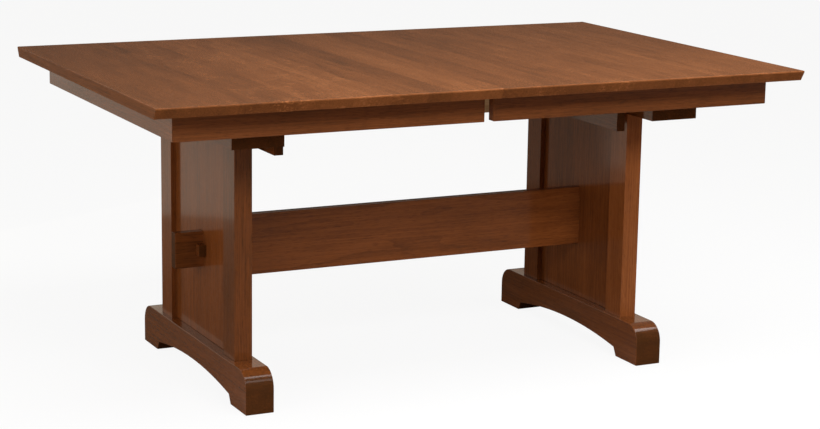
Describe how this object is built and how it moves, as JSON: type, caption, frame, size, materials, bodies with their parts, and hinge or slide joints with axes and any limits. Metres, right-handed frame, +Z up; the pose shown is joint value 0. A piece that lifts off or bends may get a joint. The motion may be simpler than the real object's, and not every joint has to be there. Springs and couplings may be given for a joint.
{
  "type": "trestle dining table",
  "caption": "Trestle dining table: a plank top that draws apart on geared wooden slides, panelled trestles on arched feet, and a keyed through-tenon stretcher.",
  "frame": {"origin": "on the floor, under the middle of the closed top", "axes": "+X along the table towards its right end, +Y across it towards the rear, +Z up"},
  "size_m": [1.6764, 1.0668, 0.762],
  "materials": {
    "top_oak": "satin stained oak, grain across the table",
    "side_apron_oak": "satin stained oak, grain along the table",
    "end_apron_oak": "satin stained oak, grain across the table",
    "foot_oak": "satin stained oak, grain along the foot",
    "post_oak": "satin stained oak, upright grain",
    "panel_oak": "satin stained oak, upright grain",
    "stretcher_oak": "satin stained oak, grain along the table",
    "key_oak": "satin stained oak",
    "bearer_oak": "satin stained oak, grain across the table",
    "cleat_oak": "satin stained oak, grain across the table",
    "block_wood": "unfinished hardwood",
    "rail_wood": "waxed pale hardwood",
    "dowel_wood": "unfinished beech",
    "gear_plastic": "natural nylon",
    "steel": "zinc plated"
  },
  "bodies": {
    "base": {"bearer_screws": "steel", "cleat_screws": "steel", "foot_bolts": "steel", "front_centre_rail": "rail_wood", "front_pinion_pin": "steel", "left_bearer": "bearer_oak", "left_foot": "foot_oak", "left_front_post": "post_oak", "left_panel": "panel_oak", "left_rear_post": "post_oak", "left_slide_cleat": "cleat_oak", "left_tenon_key": "key_oak", "rear_centre_rail": "rail_wood", "rear_pinion_pin": "steel", "right_bearer": "bearer_oak", "right_foot": "foot_oak", "right_front_post": "post_oak", "right_panel": "panel_oak", "right_rear_post": "post_oak", "right_slide_cleat": "cleat_oak", "right_tenon_key": "key_oak", "slide_screws": "steel", "stretcher": "stretcher_oak"},
    "left_half": {"front_left_moving_rail": "rail_wood", "front_left_rack": "gear_plastic", "front_lock_plate": "steel", "left_end_apron": "end_apron_oak", "left_front_apron": "side_apron_oak", "left_front_corner_block": "block_wood", "left_rail_screws": "steel", "left_rear_apron": "side_apron_oak", "left_rear_corner_block": "block_wood", "left_stop_blocks": "block_wood", "left_top": "top_oak", "rear_left_moving_rail": "rail_wood", "rear_left_rack": "gear_plastic", "rear_lock_plate": "steel"},
    "right_half": {"front_lock_keeper": "steel", "front_right_moving_rail": "rail_wood", "front_right_rack": "gear_plastic", "rear_lock_keeper": "steel", "rear_right_moving_rail": "rail_wood", "rear_right_rack": "gear_plastic", "right_end_apron": "end_apron_oak", "right_front_apron": "side_apron_oak", "right_front_corner_block": "block_wood", "right_rail_screws": "steel", "right_rear_apron": "side_apron_oak", "right_rear_corner_block": "block_wood", "right_stop_blocks": "block_wood", "right_top": "top_oak", "seam_dowels": "dowel_wood"},
    "front_lock_lever": {"front_lock_lever": "steel"},
    "front_pinion": {"front_pinion": "gear_plastic"},
    "rear_lock_lever": {"rear_lock_lever": "steel"},
    "rear_pinion": {"rear_pinion": "gear_plastic"}
  },
  "joints": [
    {"name": "left_half_slide", "type": "slide", "parent": "base", "child": "left_half", "axis": [-1, 0, 0], "range_m": [0, 0.3048]},
    {"name": "right_half_slide", "type": "slide", "parent": "base", "child": "right_half", "axis": [1, 0, 0], "range_m": [0, 0.3048]},
    {"name": "front_pinion_spin", "type": "hinge", "parent": "base", "child": "front_pinion", "pos_m": [0, -0.215, 0.6891], "axis": [0, 0, -1], "range_deg": [0, 971]},
    {"name": "rear_pinion_spin", "type": "hinge", "parent": "base", "child": "rear_pinion", "pos_m": [0, 0.215, 0.6891], "axis": [0, 0, 1], "range_deg": [0, 971]},
    {"name": "front_lock_swing", "type": "hinge", "parent": "left_half", "child": "front_lock_lever", "pos_m": [-0.028, -0.33, 0.7328], "axis": [0, 0, 1], "range_deg": [0, 90]},
    {"name": "rear_lock_swing", "type": "hinge", "parent": "left_half", "child": "rear_lock_lever", "pos_m": [-0.028, 0.33, 0.7328], "axis": [0, 0, -1], "range_deg": [0, 90]}
  ],
  "couplings": [
    {"joint": "right_half_slide", "follows": "left_half_slide", "ratio": 1},
    {"joint": "front_pinion_spin", "follows": "left_half_slide", "rad_per_m": 55.556},
    {"joint": "rear_pinion_spin", "follows": "left_half_slide", "rad_per_m": 55.556}
  ]
}
